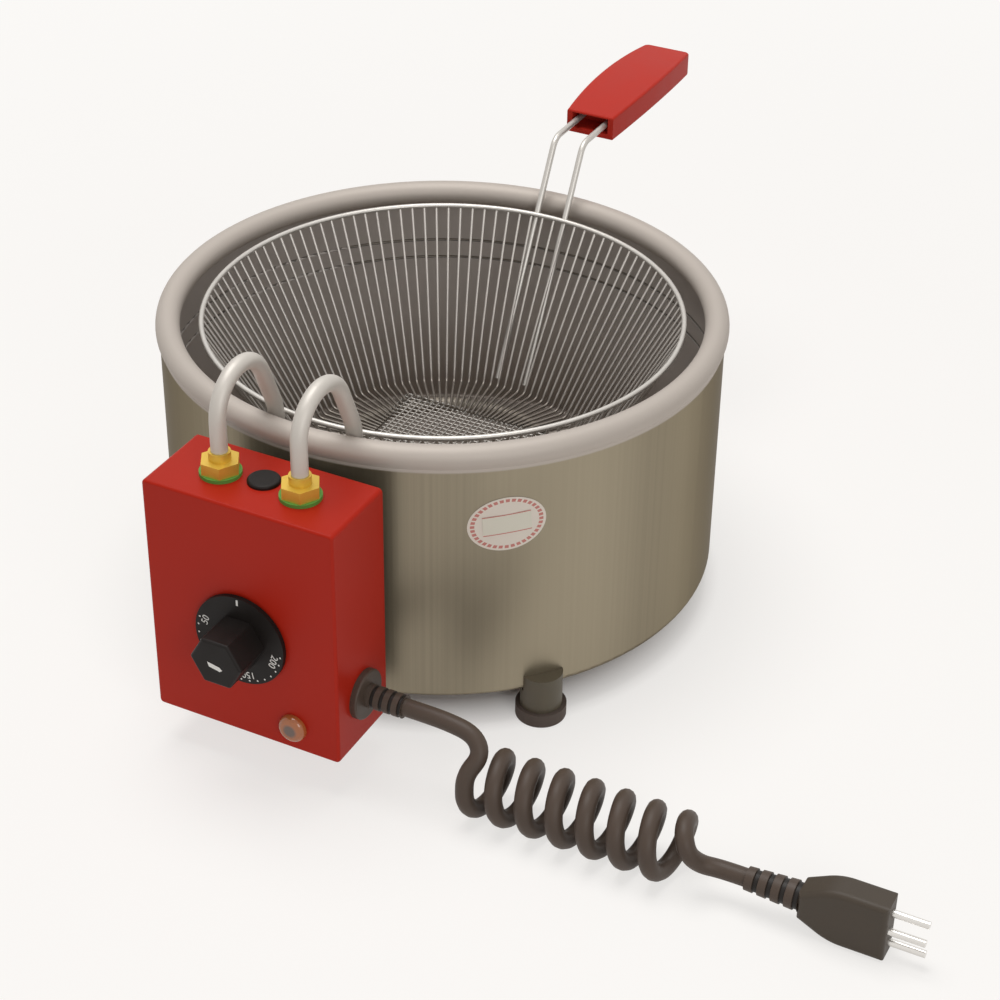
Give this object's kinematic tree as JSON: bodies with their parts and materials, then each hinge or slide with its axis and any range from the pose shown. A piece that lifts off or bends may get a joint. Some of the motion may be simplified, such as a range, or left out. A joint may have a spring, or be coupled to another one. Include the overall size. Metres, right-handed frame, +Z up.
{
  "type": "deep fryer",
  "caption": "Electric frying pot with an immersed tube element on a lift-off control head, a round wire basket with a long handle, and a curled mains cord.",
  "frame": {"origin": "on the pot's axis, in the plane of the four foot pads", "axes": "+Z up, control head on the -Y side, basket handle towards +Y, cord leaving to +X"},
  "size_m": [0.534, 0.5614, 0.2243],
  "materials": {
    "pot_steel": "satin spun steel",
    "plated_steel": "plated steel wire and fasteners",
    "tube_steel": "drawn stainless sheath",
    "bracket_steel": "dark zinc plate",
    "red_paint": "smooth red enamel",
    "red_phenolic": "moulded red phenolic",
    "brass": "machined brass",
    "copper": "drawn copper",
    "green_fibre": "green fibre washer",
    "black_plastic": "black phenolic",
    "white_ceramic": "glazed ceramic",
    "amber_lens": "amber lens",
    "black_rubber": "moulded rubber",
    "foot_plastic": "moulded plastic",
    "cord_rubber": "grey-brown PVC"
  },
  "bodies": {
    "pot": {"pot_shell": "pot_steel", "foot_leg_1": "foot_plastic", "foot_leg_2": "foot_plastic", "foot_leg_3": "foot_plastic", "foot_leg_4": "foot_plastic", "foot_pad_1": "black_rubber", "foot_pad_2": "black_rubber", "foot_pad_3": "black_rubber", "foot_pad_4": "black_rubber", "foot_studs": "plated_steel", "hanger_bracket": "bracket_steel", "hanger_rivets": "plated_steel", "wall_bumpers": "black_rubber", "cord_curls": "cord_rubber", "cord_far_lead": "cord_rubber", "plug_boot": "cord_rubber", "plug_body": "cord_rubber", "plug_pins": "brass"},
    "control_head": {"box_cover": "red_paint", "back_plate": "bracket_steel", "cover_screws": "plated_steel", "hanging_hook": "bracket_steel", "hook_rivets": "plated_steel", "heating_element": "tube_steel", "cold_pins": "brass", "element_gland_left": "brass", "element_gland_right": "brass", "gland_washer_left": "green_fibre", "gland_washer_right": "green_fibre", "gland_nut_left": "brass", "gland_nut_right": "brass", "hole_stopper": "black_rubber", "thermostat_body": "black_plastic", "thermostat_nut": "plated_steel", "sensor_bulb": "copper", "bulb_clip": "bracket_steel", "capillary_tube": "copper", "pilot_lens": "amber_lens", "pilot_body": "black_plastic", "pilot_ring": "plated_steel", "terminal_block": "white_ceramic", "earth_screw": "plated_steel", "cord_gland": "black_plastic", "cord_gland_nut": "black_plastic", "strain_relief": "black_rubber", "cord_near_lead": "cord_rubber"},
    "knob": {"thermostat_knob": "black_plastic", "knob_spindle": "plated_steel"},
    "basket": {"basket_ring": "plated_steel", "basket_wall_wires": "plated_steel", "basket_floor_mesh": "plated_steel", "handle_wire_left": "plated_steel", "handle_wire_right": "plated_steel", "handle_grip": "red_phenolic"}
  },
  "joints": [
    {"name": "head_lift", "type": "slide", "parent": "pot", "child": "control_head", "axis": [0, 0, 1], "range_m": [0, 0.14]},
    {"name": "basket_lift", "type": "slide", "parent": "control_head", "child": "basket", "axis": [0, 0, 1], "range_m": [0, 0.14]},
    {"name": "knob_turn", "type": "hinge", "parent": "control_head", "child": "knob", "pos_m": [0, -0.2214, 0.0868], "axis": [0, 1, 0], "range_deg": [0, 255]}
  ]
}
